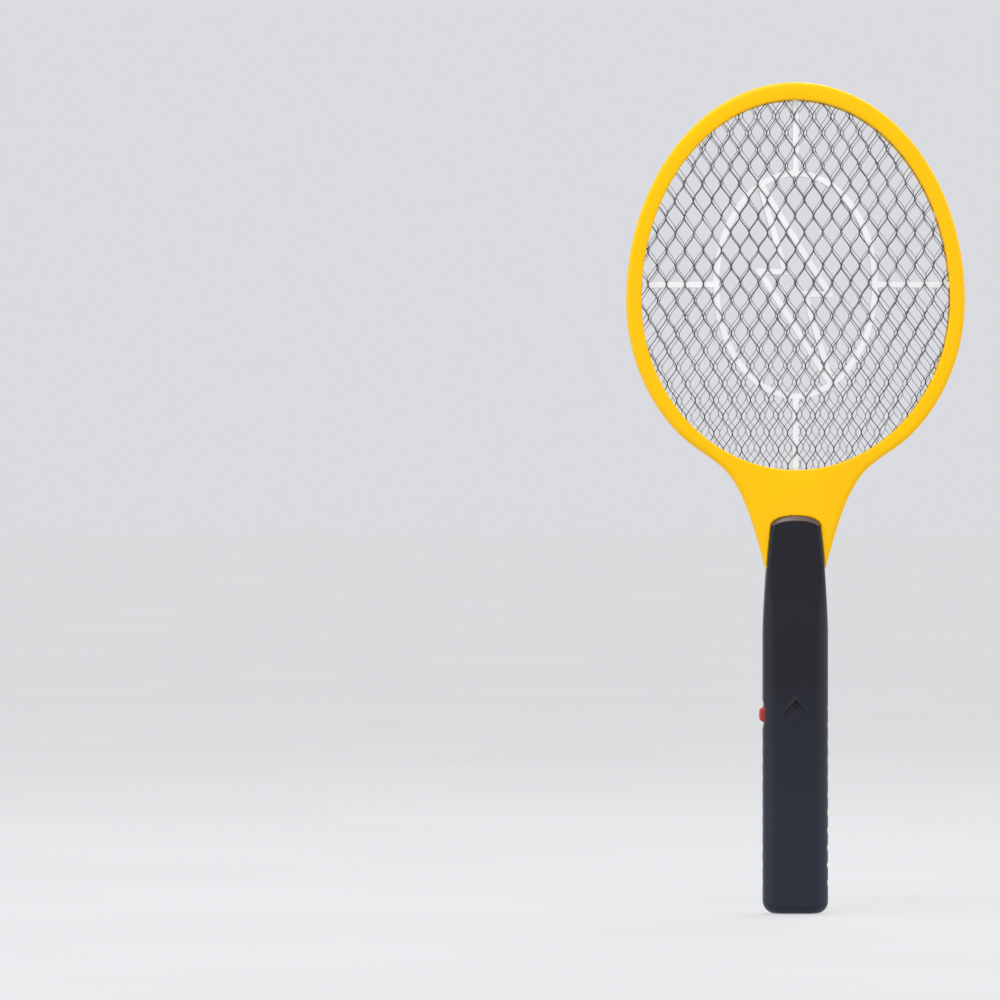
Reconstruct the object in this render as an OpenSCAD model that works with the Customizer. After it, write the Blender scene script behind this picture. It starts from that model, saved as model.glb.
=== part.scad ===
// Hand-held electric fly swatter: an egg-shaped racket head that holds three
// expanded-metal grids, on a slim two-cell handle with a side push button.
// Z runs from the butt of the handle (z = 0) to the crown of the head, the front
// face looks toward -Y, and y = 0 is the parting plane of the shells.

/* [Head] */
// Width of the head at its widest line
head_w = 180; // [174:1:190]
// Height of that widest line above the butt of the handle
head_z = 326.4; // [324:0.2:330]
// Height of the crown above the widest line
head_up = 115.6; // [110:0.2:122]
// Depth of the egg below the widest line
head_dn = 98.5; // [97:0.5:99]
// Width of the rim at both sides
rim_w = 8; // [7.8:0.1:9]
// Width of the rim at the crown
rim_crown = 9.4; // [9:0.1:11]
// Front-to-back thickness of the head
head_t = 20; // [20:0.5:22]

/* [Neck] */
// Width of the neck where it meets the handle
neck_w = 31.6; // [30.8:0.2:32.4]
// Extra half width that the flare reaches under the head
flare = 16; // [14:0.5:18]

/* [Grids] */
// Width of one diamond of the grid
cell_w = 9.8; // [9:0.2:14]
// Height of one diamond of the grid
cell_h = 17.7; // [16:0.3:24]
// Width of a strand where two diamonds share it
strand = 0.7; // [0.5:0.1:1]
// Height of the knot where four strands meet
knot = 1.6; // [1.5:0.1:3]
// Sheet thickness of a grid
grid_t = 0.5; // [0.4:0.1:0.8]

/* [Spacer ribs] */
// Width of the white ribs seen from the front
rib_w = 3; // [2:0.2:4]
// Half width of the oval rib
oval_rx = 43.7; // [38:0.1:50]
// Half height of the oval rib
oval_rz = 60.7; // [56:0.1:66]

/* [Handle] */
// Width of the grip
grip_w = 34.6; // [34.6:0.1:37]
// Front-to-back thickness of the grip
grip_t = 28; // [28:0.5:30]
// Radius of the long edges of the grip
grip_r = 9; // [7:0.5:9.5]
// Wall thickness of the handle shells
wall = 1.6; // [1.4:0.1:1.8]
// Height of the shoulder where the neck comes out of the handle
shoulder_z = 183.7; // [183:0.1:184.4]
// Height of the top of the tongues that overlap the neck
tongue_z = 211.4; // [208:0.2:213]
// Depth of the finger grooves round the back of the grip
groove_d = 0.7; // [0.3:0.1:0.8]
// Distance between two finger grooves
groove_pitch = 9.3; // [8:0.1:12]

/* [Battery bay] */
// Diameter of one AA cell
cell_d = 14.5; // [14:0.1:14.5]
// Length of one AA cell with its button
cell_len = 50.5; // [49.5:0.1:50.5]
// Height of the seam between the battery cover and the rear shell
cover_z = 66; // [65:0.5:68]

/* [Push button] */
// Height of the push button above the butt
btn_z = 105.7; // [104:0.1:108]
// Height of the push button's cap
btn_h = 8; // [7:0.1:9]
// Front-to-back width of the push button's cap
btn_w = 10; // [8:0.1:10.5]
// How far the cap stands out of the side of the grip
btn_out = 1.9; // [1.6:0.1:3]
// Travel of the push button
btn_travel = 1.5; // [1:0.1:1.5]

/* [Hidden] */
$fn = 48;

e = 0.01;                      // overshoot of cutting tools
hy = head_t / 2;               // front face of the head is y = -hy
lip = 2.6;                     // thickness of the lip in front of the grids
gy = hy - lip;                 // outer face of the outer grids
sy = gy - grid_t;              // outer face of the spacers
cy = grid_t / 2;               // half thickness of the centre grid
frame_wall = 2.5;              // side wall of the head frames
edge = 3.8;                    // inset of the grids and spacers from the outline
boss_in = 4.2;                 // inset of the rim screws from the outline
boss_r = 2.4;
rim_angles = [25, 90, 155, 207, 333];
neck_x = 15;                   // neck screws
neck_sz = 222;
neck_top = 248;
spigot_w = 26.6;               // the end of the neck that sits inside the handle
spigot_z = 150;
spigot_y = 8;
recess_y = 8.6;                // depth at which the tongues lie on the neck
hw = grip_w / 2;
hd = grip_t / 2;
tongue_d = 11.5;               // outer face of the tongues
screw_z = 197;                 // screw through the tongues and the neck
low_x = 10.5;                  // lower handle screws
low_z = 76;
cover_y = 6;                   // side seam of the battery cover
board_y = 3.2;                 // front face of the circuit board
board_t = 1.6;
cell_x = 7.35;
cell_y = 4.3;
bay_lo = 2.4;
plate_t = 0.5;
spring_h = 6.5;
bay_hi = bay_lo + 2 * plate_t + spring_h + cell_len;
led_z = 110.8;
tail_y = 2.6;                  // leaf above the cap of the push button
tail_z = 9.6;
pad_x = hw - 2.7;              // inner face of the wall round the push button

// ---------- shared shapes ----------

// Egg outline round the origin, wider radius up than down
function egg(a, up, dn, n = 96) =
    [for (i = [0:n - 1]) let (t = 360 * i / n)
        [a * cos(t), (sin(t) >= 0 ? up : dn) * sin(t)]];

// Half width of the neck at height z
function neck_hw(z) = neck_w / 2 + 0.262 * (z - shoulder_z)
    + flare * exp((z - shoulder_z - 60.7) / 12);

// Half width of the handle at height z
function grip_hw(z) =
    z < 6.5 ? hw - 6.5 + 6.5 * sqrt(max(0, 1 - pow((6.5 - z) / 6.5, 2))) :
    z < 150 ? hw :
    z < shoulder_z ? hw - 1.9 * pow((z - 150) / (shoulder_z - 150), 1.3) :
    z < tongue_z - 6.4 ? hw - 1.9 - 2.1 * (z - shoulder_z) / (tongue_z - 6.4 - shoulder_z) :
    (hw - 4) * pow(max(0, 1 - pow(max(0, z - tongue_z + 6.4) / 6.4, 2.6)), 0.45);

// Half depth of the handle at height z
function grip_hd(z) =
    z < 5 ? hd - 5 + 5 * sqrt(max(0, 1 - pow((5 - z) / 5, 2))) :
    z < 145 ? hd :
    z < shoulder_z ? hd - 1.6 * pow((z - 145) / (shoulder_z - 145), 1.4) :
    z < tongue_z - 3 ? hd - 1.6 - (hd - 1.6 - tongue_d) * (z - shoulder_z) / (tongue_z - 3 - shoulder_z) :
    tongue_d - 1.4 * pow(max(0, z - tongue_z + 3) / 3, 2);

grip_steps = [0, 0.4, 1, 2, 3.2, 4.6, 6.5, 145, 150, 156, 162, 168, 174, 179, shoulder_z,
    190, 198, tongue_z - 6.4, tongue_z - 5, tongue_z - 3.6, tongue_z - 2.4, tongue_z - 1.4,
    tongue_z - 0.6, tongue_z - 0.15, tongue_z];

// Upright plan (x, z) given a thickness from y0 to y1
module slab(y0, y1) translate([0, y1, 0]) rotate([90, 0, 0]) linear_extrude(y1 - y0) children();

// Side view (y, z) given a width from -x to x
module side(x) translate([-x, 0, 0]) rotate([90, 0, 90]) linear_extrude(2 * x) children();

module box(lo, hi) translate(lo) cube(hi - lo);
module rod_y(x, z, y0, y1, r) translate([x, y1, z]) rotate([90, 0, 0]) cylinder(r = r, h = y1 - y0);
module rod_x(y, z, x0, x1, r) translate([x0, y, z]) rotate([0, 90, 0]) cylinder(r = r, h = x1 - x0);
module rod_z(x, y, z0, z1, r) translate([x, y, z0]) cylinder(r = r, h = z1 - z0);

module round_rect(w, h, r) {
    square([w - 2 * r, h], center = true);
    square([w, h - 2 * r], center = true);
    for (sx = [-1, 1], sz = [-1, 1]) translate([sx * (w / 2 - r), sz * (h / 2 - r)]) circle(r);
}

module bar(p, q, w) {
    d = q - p;
    translate(p) rotate(atan2(d[1], d[0])) translate([0, -w / 2]) square([norm(d), w]);
}

module egg_plan(d, crown = 0)
    translate([0, head_z]) polygon(egg(head_w / 2 - d, head_up - d - crown, head_dn - d));

module neck_plan(d) polygon(concat(
    [for (i = [0:20]) let (z = shoulder_z + i * (neck_top - shoulder_z) / 20) [neck_hw(z) - d, z]],
    [for (i = [20:-1:0]) let (z = shoulder_z + i * (neck_top - shoulder_z) / 20) [d - neck_hw(z), z]]));

module head_plan(d) { egg_plan(d); neck_plan(d); }
module opening_plan() egg_plan(rim_w, rim_crown - rim_w);

function rim_point(t, d) = [(head_w / 2 - d) * cos(t),
    head_z + ((sin(t) >= 0 ? head_up : head_dn) - d) * sin(t)];

module at_rim() for (t = rim_angles) let (p = rim_point(t, boss_in)) translate([p[0], p[1]]) children();
module at_neck() for (s = [-1, 1]) translate([s * neck_x, neck_sz]) children();

// Outline of the tongue and of the grip below it, grown by g
module tongue_plan(g) polygon(concat(
    [for (z = grip_steps) if (z >= shoulder_z) [grip_hw(z) + g, z + (z > tongue_z - 3 ? g : 0)]],
    [for (i = [len(grip_steps) - 1:-1:0]) let (z = grip_steps[i]) if (z >= shoulder_z)
        [-grip_hw(z) - g, z + (z > tongue_z - 3 ? g : 0)]]));

// ---------- head ----------

// One half of the head frame, as its front half
module frame_half(thread_r, through_r) {
    difference() {
        union() {
            difference() {
                union() {
                    slab(-hy + 1.2, 0) head_plan(0);
                    slab(-hy + 0.4, -hy + 1.2) head_plan(0.4);
                    slab(-hy, -hy + 0.4) head_plan(1.1);
                }
                slab(-gy, e) head_plan(frame_wall);
                slab(-hy - e, -gy + e) opening_plan();
                slab(-hy - e, -recess_y) tongue_plan(0.5);
            }
            difference() {
                slab(-spigot_y, 0) translate([-spigot_w / 2, spigot_z]) square([spigot_w, shoulder_z - spigot_z]);
                slab(-spigot_y + 1.6, e) translate([-spigot_w / 2 + 2, spigot_z - e])
                    square([spigot_w - 4, shoulder_z - spigot_z + 2 * e]);
            }
            slab(-gy - e, 0) at_rim() circle(boss_r);
            slab(-gy - e, 0) at_neck() circle(boss_r + 0.6);
            rod_y(0, screw_z, -recess_y + 0.4, 0, 4.2);
        }
        slab(-gy + 0.9, e) { at_rim() circle(thread_r); at_neck() circle(thread_r); }
        rod_y(0, screw_z, -hy, e, through_r);
    }
}

module head_front_frame() color("gold") frame_half(1.05, 3);

module head_rear_frame() color("gold") difference() {
    mirror([0, 1, 0]) frame_half(1.3, 1.5);
    slab(-e, hy + e) { at_rim() circle(1.3); at_neck() circle(1.3); }
    slab(hy - 2, hy + e) { at_rim() circle(2.6); at_neck() circle(2.6); }
}

// Plan of one grid: a solid border, ears round the rim screws, and staggered diamonds
// turned by tilt round the anchor, so that the three layers never line up everywhere
module grid_plan(anchor, tilt, tab_x) difference() {
    union() {
        difference() {
            egg_plan(edge);
            intersection() {
                egg_plan(edge + 1.2);
                union() {
                    nx = ceil(head_w / 2 / cell_w) + 7;
                    nz = ceil(head_up / cell_h) + 4;
                    tx = cell_w / 2 - strand / 2;
                    tz = cell_h / 2 - knot / 2 - strand * 0.45;
                    for (k = [0:1], i = [-nx:nx], j = [-nz:nz])
                        let (q = [(i + k / 2) * cell_w, (j + k / 2) * cell_h],
                             p = anchor + [q[0] * cos(tilt) - q[1] * sin(tilt), q[0] * sin(tilt) + q[1] * cos(tilt)])
                            if (norm([p[0] / (head_w / 2), p[1] / (p[1] > 0 ? head_up : head_dn)]) < 1.02)
                                translate([p[0], head_z + p[1]]) rotate(tilt)
                                    polygon([[tx, knot / 2], [0, tz], [-tx, knot / 2],
                                             [-tx, -knot / 2], [0, -tz], [tx, -knot / 2]]);
                }
            }
        }
        intersection() { egg_plan(edge); at_rim() circle(3.6); }
        translate([tab_x - 2, neck_sz - 3]) square([4, 14]);
    }
    at_rim() circle(2.6);
}

module front_grid() color("silver") slab(-gy, -sy) grid_plan([0, 0], 0.5, -7.5);
module center_grid() color("silver") slab(-cy, cy) grid_plan([-4 * cell_w, 2 * cell_h], 2.1, 5.5);
module rear_grid() color("silver") slab(sy, gy) grid_plan([5 * cell_w, cell_h], -1.1, -7.5);

// Lightning bolt drawn by its outline, around the centre of the oval
bolt = [[-19.5, 55], [18, -5], [5, -5], [19.5, -54], [-19, 7], [-5.5, 7]];

module spacer_plan() difference() {
    union() {
        difference() { egg_plan(edge); egg_plan(edge + 3); }
        intersection() { egg_plan(edge); at_rim() circle(3.8); }
        translate([0, head_z + 8]) {
            difference() {
                polygon(egg(oval_rx, oval_rz, oval_rz));
                polygon(egg(oval_rx - rib_w, oval_rz - rib_w, oval_rz - rib_w));
            }
            for (i = [0:5]) {
                bar(bolt[i], bolt[(i + 1) % 6], rib_w);
                translate(bolt[i]) circle(0.62 * rib_w);
            }
            for (s = [-1, 1]) {
                bar([s * (oval_rx - rib_w / 2), 0], [s * (head_w / 2 - edge - 1.5), 0], rib_w);
            }
            bar([0, oval_rz - rib_w / 2], [0, head_up - 8 - edge - 1.5], rib_w);
            bar([0, -oval_rz + rib_w / 2], [0, -head_dn - 8 + edge + 1.5], rib_w);
        }
    }
    at_rim() circle(2.6);
}

module front_spacer() color("white") slab(-sy, -cy) spacer_plan();
module rear_spacer() color("white") slab(cy, sy) spacer_plan();

// Strip that joins the tails of the front and rear grids
module grid_bridge() color("lightgray") box([-9, -sy, neck_sz - 3], [-6, sy, neck_sz - 2.2]);

// Pan-head screw driven from the back, head from y0 outward
module screw(x, z, y0, tip, head_r, shank_r = 1) difference() {
    union() {
        rod_y(x, z, y0, y0 + 1.2, head_r);
        rod_y(x, z, y0 + 1.2 - e, y0 + 1.6, head_r - 0.5);
        rod_y(x, z, tip, y0 + e, shank_r);
    }
    box([x - 1.4, y0 + 0.8, z - 0.3], [x + 1.4, y0 + 2, z + 0.3]);
    box([x - 0.3, y0 + 0.8, z - 1.4], [x + 0.3, y0 + 2, z + 1.4]);
}

module head_screws() color("dimgray") {
    for (t = rim_angles) let (p = rim_point(t, boss_in)) screw(p[0], p[1], hy - 2, -5.5, 2.3);
    for (s = [-1, 1]) screw(s * neck_x, neck_sz, hy - 2, -5.5, 2.3);
}

// ---------- handle ----------

module grip_solid() intersection() {
    slab(-hd, hd) polygon(concat([for (z = grip_steps) [grip_hw(z), z]],
        [for (i = [len(grip_steps) - 1:-1:0]) [-grip_hw(grip_steps[i]), grip_steps[i]]]));
    side(hw) polygon(concat([for (z = grip_steps) [grip_hd(z), z]],
        [for (i = [len(grip_steps) - 1:-1:0]) [-grip_hd(grip_steps[i]), grip_steps[i]]]));
    linear_extrude(tongue_z) round_rect(grip_w, grip_t, grip_r);
}

module grip_cavity() intersection() {
    zs = [for (z = grip_steps) if (z >= 6.5 && z <= shoulder_z) z];
    slab(-hd, hd) polygon(concat([[hw - wall - 2.2, bay_lo], [hw - wall, bay_lo + 2]],
        [for (z = zs) [grip_hw(z) - wall, z]], [[grip_hw(shoulder_z) - wall, shoulder_z + 1],
        [-grip_hw(shoulder_z) + wall, shoulder_z + 1]],
        [for (i = [len(zs) - 1:-1:0]) [-grip_hw(zs[i]) + wall, zs[i]]],
        [[-hw + wall, bay_lo + 2], [-hw + wall + 2.2, bay_lo]]));
    side(hw) polygon(concat([[hd - wall - 2, bay_lo], [hd - wall, 5]],
        [for (z = zs) [grip_hd(z) - wall, z]], [[grip_hd(shoulder_z) - wall, shoulder_z + 1],
        [-grip_hd(shoulder_z) + wall, shoulder_z + 1]],
        [for (i = [len(zs) - 1:-1:0]) [-grip_hd(zs[i]) + wall, zs[i]]],
        [[-hd + wall, 5], [-hd + wall + 2, bay_lo]]));
    linear_extrude(shoulder_z + 1) round_rect(grip_w - 2 * wall, grip_t - 2 * wall, grip_r - wall);
}

// Finger grooves: shallow channels round the back and the finger side of the grip
module grooves(z_lo, z_hi) for (i = [0:10]) let (z = 16.5 + i * groove_pitch)
    if (z > z_lo && z < z_hi) translate([0, 0, z - 1]) linear_extrude(2) difference() {
        square([grip_w + 4, grip_t + 4], center = true);
        round_rect(grip_w - 2 * groove_d, grip_t - 2 * groove_d, grip_r - groove_d);
    }

// Hole for the push button's cap, with g of clearance
module button_plan(g) round_rect(btn_w + 2 * g, btn_h + 2 * g, 2 + g);
module button_bar(x0, x1, g) translate([x0, 0, btn_z]) rotate([90, 0, 90])
    linear_extrude(x1 - x0) button_plan(g);

// Leaf that runs up from the cap, flush with the side of the grip
module button_leaf(x0, x1, g)
    box([x0, -tail_y - g, btn_z + 2], [x1, tail_y + g, btn_z + tail_z + g]);

module button_scoop() rod_y(-hw - 31.5, btn_z, -8.2, 8.2, 32.5);

module shell_body() {
    difference() {
        grip_solid();
        grip_cavity();
        box([-40, -recess_y, shoulder_z], [40, recess_y, tongue_z + 5]);
    }
    intersection() {
        grip_solid();
        box([-hw, -8.2, btn_z - 8.5], [-pad_x, 8.2, btn_z + 8.5]);
    }
}

module clamp_ribs(s) for (z = [152, 166, 178])
    box([-10, s > 0 ? spigot_y : -grip_hd(z) + wall - 0.5, z], [10, s > 0 ? grip_hd(z) - wall + 0.5 : -spigot_y, z + 1.6]);

module board_posts(y0, y1) for (x = [-10, 10.5], z = [87.5, 142.5]) rod_y(x, z, y0, y1, 1.6);

// Posts for the two lower screws, kept inside the rounded corners of the grip
module low_posts(y0, y1, r) intersection() {
    for (s = [-1, 1]) rod_y(s * low_x, low_z, y0, y1, r);
    translate([0, 0, low_z - 5]) linear_extrude(10) round_rect(grip_w - 1, grip_t - 1, grip_r - 0.5);
}

module chevron(px, pz, rise, w) {
    bar([-px, pz - rise], [0, pz], w);
    bar([0, pz], [px, pz - rise], w);
    translate([0, pz]) circle(w / 2);
}

// Drop-shaped recess round the indicator, its point under the chevron
module hood_plan() {
    translate([0, led_z - 0.7]) circle(1.9);
    polygon([[-1.9, led_z - 0.5], [0, led_z + 3.2], [1.9, led_z - 0.5]]);
}

module handle_front_shell() color("darkslategray") difference() {
    union() {
        difference() {
            intersection() { shell_body(); box([-40, -20, -1], [40, 0, 220]); }
            intersection() { grooves(0, 112); box([0, -6.5, 0], [40, 1, 200]); }
        }
        clamp_ribs(-1);
        low_posts(-hd + wall - 0.5, 0, 3);
        rod_y(0, screw_z, -recess_y - 0.5, 0, 2.8);
        board_posts(-hd + wall - 0.5, board_y);
    }
    for (s = [-1, 1]) rod_y(s * low_x, low_z, -hd + wall + 1, e, 1.05);
    rod_y(0, screw_z, -recess_y, e, 1.05);
    slab(-hd - 1, -hd + wall + 1) translate([0, led_z]) round_rect(2.2, 4, 1.05);
    slab(-hd - 1, -hd + 0.5) hood_plan();
    slab(-hd - 1, -hd + 0.4) { chevron(6.6, 115, 7.2, 0.9); chevron(7.2, 104.6, 4.6, 0.8); }
    button_bar(-hw - 3, -pad_x + 1, 0.15);
    button_leaf(-hw - 3, -pad_x + 1, 0.15);
    button_scoop();
}

module handle_rear_shell() color("darkslategray") difference() {
    union() {
        difference() {
            intersection() { shell_body(); box([-40, 0, -1], [40, 20, 220]); }
            box([-40, cover_y, -1], [40, 20, cover_z + 0.3]);
            intersection() { grooves(0, 112); box([0, -1, 0], [40, 20, 200]); }
            intersection() { grooves(0, 95); box([-40, 2, 0], [e, 20, 200]); }
        }
        clamp_ribs(1);
        bay_walls();
        low_posts(0, hd - wall + 0.5, 3.6);
        board_posts(board_y + board_t, hd - wall + 0.5);
    }
    for (s = [-1, 1]) {
        rod_y(s * low_x, low_z, -e, hd + 1, 1.3);
        rod_y(s * low_x, low_z, hd - 3.6, hd + 1, 2.7);
        rod_z(s * 4, -0.6, bay_hi - 1, bay_hi + 3, 1);
    }
    rod_y(0, screw_z, 0, hd, 1.3);
    rod_y(0, screw_z, tongue_d - 2, hd, 2.7);
    button_bar(-hw - 3, -pad_x + 1, 0.15);
    button_leaf(-hw - 3, -pad_x + 1, 0.15);
    button_scoop();
}

// Floor under the cells and the wall above them, clear of the cover's travel
module bay_walls() {
    intersection() {
        linear_extrude(shoulder_z) round_rect(grip_w - 2 * wall + 0.8, grip_t - 2 * wall, grip_r - wall);
        box([-hw, 0, bay_hi], [hw, cover_y - 0.2, bay_hi + 2]);
    }
    intersection() {
        linear_extrude(shoulder_z) round_rect(grip_w - 2 * wall - 0.6, grip_t - 2 * wall - 0.6, grip_r - wall - 0.3);
        union() {
            box([-hw, -4.6, bay_hi], [hw, 10, bay_hi + 2]);
            box([-hw, -4.6, bay_lo + 2.2], [hw, -3, bay_hi + 1]);
        }
    }
}

module battery_cover() color("darkslategray") {
    difference() {
        intersection() { grip_solid(); box([-40, cover_y + 0.15, -1], [40, 20, cover_z]); }
        grip_cavity();
        grooves(0, cover_z - 1);
    }
    box([-3, hd - wall - 1.5, cover_z - 3], [3, hd - wall - 0.2, cover_z + 3.5]);
    box([-3, hd - wall - 0.6, cover_z - 3], [3, hd - wall + 0.4, cover_z - 0.6]);
}

module handle_screws() color("dimgray") {
    screw(0, screw_z, tongue_d - 2, -7, 2.4);
    for (s = [-1, 1]) screw(s * low_x, low_z, hd - 3.6, -8, 2.4);
}

module trigger_button() color("crimson") {
    button_bar(-hw - btn_out + 0.7, -pad_x - e, 0);
    button_leaf(-hw + 0.25, -pad_x, 0);
    translate([-hw - btn_out, 0, btn_z]) rotate([90, 0, 90]) linear_extrude(0.7 + e) round_rect(btn_w - 1.2, btn_h - 1.2, 1.6);
    translate([-pad_x + 0.1, 0, btn_z]) rotate([90, 0, 90]) linear_extrude(1.2) round_rect(btn_w + 3, btn_h + 3, 2);
    rod_x(0, btn_z, -pad_x - 0.5, -pad_x + 2.15, 2);
}

sw_x = -pad_x + 4.2;           // face of the switch housing

module push_switch() color("black") difference() {
    union() {
        box([sw_x, -3, btn_z - 3], [sw_x + 6, board_y - 0.4, btn_z + 3]);
        for (x = [1, 5], z = [-2.2, 2.2]) rod_y(sw_x + x, btn_z + z, board_y - 0.5, board_y, 0.4);
    }
    rod_x(0, btn_z, sw_x - e, sw_x + 2.8, 1.6);
}

module switch_plunger() color("ivory") rod_x(0, btn_z, sw_x - 2, sw_x + 1.1, 1.52);

module circuit_board() color("peru") difference() {
    box([-10.8, board_y, 84], [13, board_y + board_t, 146]);
    for (s = [-1, 1]) rod_y(s * 4, 85.6, board_y - e, board_y + board_t + e, 0.5);
}

tr = [4, -1.8, 131];           // centre of the transformer

module transformer_core() color("dimgray") translate(tr) difference() {
    box([-7, -2.5, -6], [7, 2.5, 6]);
    box([-5.2, -3, 2], [5.2, 3, 4.5]);
    box([-5.2, -3, -4.5], [5.2, 3, -2]);
}

module transformer_coil() color("darkorange") translate(tr) difference() {
    union() {
        translate([-4.2, 0, 0]) rotate([90, 0, 90]) linear_extrude(8.4) round_rect(9.4, 8.2, 2);
        for (x = [-5, 4.2]) translate([x, 0, 0]) rotate([90, 0, 90]) linear_extrude(0.8) round_rect(10, 8.6, 1);
    }
    box([-6, -2.55, -2.05], [6, 2.55, 2.05]);
}

module hv_capacitor() color("saddlebrown") {
    translate([-7.8, -2.2, 131]) rotate([90, 0, 0]) translate([0, 0, -4.4]) linear_extrude(8.8) round_rect(7, 13, 2.4);
    for (z = [127, 135]) rod_y(-7.8, z, 2, board_y, 0.35);
}

module ceramic_capacitors() color("royalblue") for (z = [95, 101, 107]) {
    rod_z(8, -1.6, z - 1.3, z + 1.3, 3.4);
    for (s = [-1, 1]) rod_y(8 + s * 2.2, z, -1, board_y, 0.3);
}

module axial(x, y, z, len, r, lead) {
    rod_x(y, z, x - len / 2, x + len / 2, r);
    rod_x(y, z, x - lead, x + lead, 0.3);
    for (s = [-1, 1]) rod_y(x + s * lead, z, y, board_y, 0.3);
}

module rectifier_diodes() color("black") for (i = [0:3]) axial(-3, 1.7, 89.8 + 3.5 * i, 5, 1.3, 4);
module resistors() color("burlywood") for (z = [113, 117]) axial(-6.4, 1.8, z, 6, 1.1, 4);

module transistor() color("black") {
    difference() {
        rod_y(7, 116, -5, -0.5, 2.3);
        box([4, -6, 117.4], [10, 0, 119]);
    }
    for (x = [5.8, 7, 8.2]) rod_y(x, 116, -0.6, board_y, 0.25);
}

module indicator_led() color("pink") {
    slab(-hd + 0.5, -hd + wall + 0.4) translate([0, led_z]) round_rect(1.9, 3.7, 0.9);
    slab(-hd + wall + 0.3, -hd + wall + 2.9) translate([0, led_z]) round_rect(3, 5, 1.3);
    for (s = [-1, 1]) rod_y(s * 0.64, led_z, -hd + wall + 2.8, board_y, 0.25);
}

// One AA cell, its button at the end that faces dir
module cell(x, z0, dir) translate([x, cell_y, z0 + (dir > 0 ? 0 : cell_len)]) mirror([0, 0, dir > 0 ? 0 : 1]) rotate_extrude() polygon([
    [0, 0], [cell_d / 2 - 0.8, 0], [cell_d / 2, 0.6], [cell_d / 2, cell_len - 1.8],
    [cell_d / 2 - 0.8, cell_len - 1.2], [2.7, cell_len - 1.2], [2.7, cell_len], [0, cell_len]]);

cell_r_z = bay_lo + plate_t + spring_h;
module battery_right() color("seagreen") cell(cell_x, cell_r_z, 1);
module battery_left() color("seagreen") cell(-cell_x, bay_lo + plate_t, -1);

// Conical coil of round wire from z0 up to z0 + h, wide end at the bottom
module coil(h, r0, r1, turns, wr) {
    n = 60; m = 8;
    pts = [for (i = [0:n], k = [0:m - 1]) let (u = i / n, a = 360 * turns * u, b = 360 * k / m,
        r = r0 + (r1 - r0) * u + wr * cos(b)) [r * cos(a), r * sin(a), wr + (h - 2 * wr) * u + wr * sin(b)]];
    polyhedron(pts, concat(
        [[for (k = [0:m - 1]) k]],
        [for (i = [0:n - 1], k = [0:m - 1]) let (a = i * m + k, b = i * m + (k + 1) % m) [a, a + m, b + m, b]],
        [[for (k = [m - 1:-1:0]) n * m + k]]));
}

module battery_springs() color("silver") {
    translate([cell_x, cell_y, bay_lo + plate_t]) coil(spring_h, 4.6, 2.6, 4, 0.35);
    translate([-cell_x, cell_y, bay_hi - plate_t]) mirror([0, 0, 1]) coil(spring_h, 4.6, 2.6, 4, 0.35);
}

module contact_plates() color("silver") {
    box([-12.5, -1, bay_lo], [12.5, cover_y - 0.2, bay_lo + plate_t]);
    for (s = [-1, 1]) box([min(s * 2, s * 12.5), -1.8, bay_hi - plate_t], [max(s * 2, s * 12.5), 9, bay_hi]);
}

module battery_wires() color("red") for (s = [-1, 1]) {
    rod_z(s * 4, -0.6, bay_hi, 86.3, 0.7);
    rod_y(s * 4, 85.6, -0.6, board_y, 0.4);
}

module hv_lead() color("red") {
    rod_z(5.5, cy + 0.8, 140.2, 228, 0.8);
    rod_y(5.5, 141, cy + 0.8, board_y, 0.5);
}

module ground_lead() color("black") {
    rod_z(-7.5, cy + 0.8, 140.2, neck_sz - 3, 0.8);
    rod_y(-7.5, 141, cy + 0.8, board_y, 0.5);
}

head_front_frame();
head_rear_frame();
front_grid();
front_spacer();
center_grid();
rear_spacer();
rear_grid();
grid_bridge();
head_screws();
handle_front_shell();
handle_rear_shell();
battery_cover();
handle_screws();
trigger_button();
push_switch();
switch_plunger();
circuit_board();
transformer_core();
transformer_coil();
hv_capacitor();
ceramic_capacitors();
rectifier_diodes();
transistor();
resistors();
indicator_led();
battery_left();
battery_right();
battery_springs();
contact_plates();
battery_wires();
hv_lead();
ground_lead();
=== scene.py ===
import math

import bmesh
import bpy
import numpy as np
from mathutils import Matrix, Vector


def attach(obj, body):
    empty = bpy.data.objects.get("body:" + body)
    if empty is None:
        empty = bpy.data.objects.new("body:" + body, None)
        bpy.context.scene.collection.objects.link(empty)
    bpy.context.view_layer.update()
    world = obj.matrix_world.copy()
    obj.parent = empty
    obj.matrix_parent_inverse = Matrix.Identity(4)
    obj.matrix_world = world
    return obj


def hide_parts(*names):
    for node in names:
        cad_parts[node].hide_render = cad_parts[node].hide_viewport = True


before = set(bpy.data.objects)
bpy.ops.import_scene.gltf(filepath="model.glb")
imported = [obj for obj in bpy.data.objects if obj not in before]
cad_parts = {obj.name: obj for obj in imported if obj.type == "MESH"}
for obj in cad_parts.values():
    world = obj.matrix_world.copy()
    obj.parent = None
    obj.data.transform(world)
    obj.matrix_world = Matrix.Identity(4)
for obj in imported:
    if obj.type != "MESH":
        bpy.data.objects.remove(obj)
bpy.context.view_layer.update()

scene = bpy.context.scene
COL = scene.collection
MM = 0.001

# ------------------------------------------------------------------ camera
# The lens is long and the object stands right of the middle of the picture.
PX = 0.5325 * MM  # metres that one pixel of the picture covers at the object
DIST = 4.5
cam_data = bpy.data.cameras.new("camera")
cam_data.sensor_width = 36.0
cam_data.lens = 36.0 * DIST / (1000 * PX)
cam_data.clip_start, cam_data.clip_end = 0.1, 200.0
cam = bpy.data.objects.new("camera", cam_data)
COL.objects.link(cam)
cam.location = ((500 - 795.2) * PX, -DIST, (913 - 500) * PX)
cam.rotation_euler = (math.radians(90), 0, 0)
scene.camera = cam
scene.view_settings.view_transform = "Standard"
scene.view_settings.look = "None"

# ------------------------------------------------------------------ meshes, in millimetres
SOLVER = "MANIFOLD"


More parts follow.
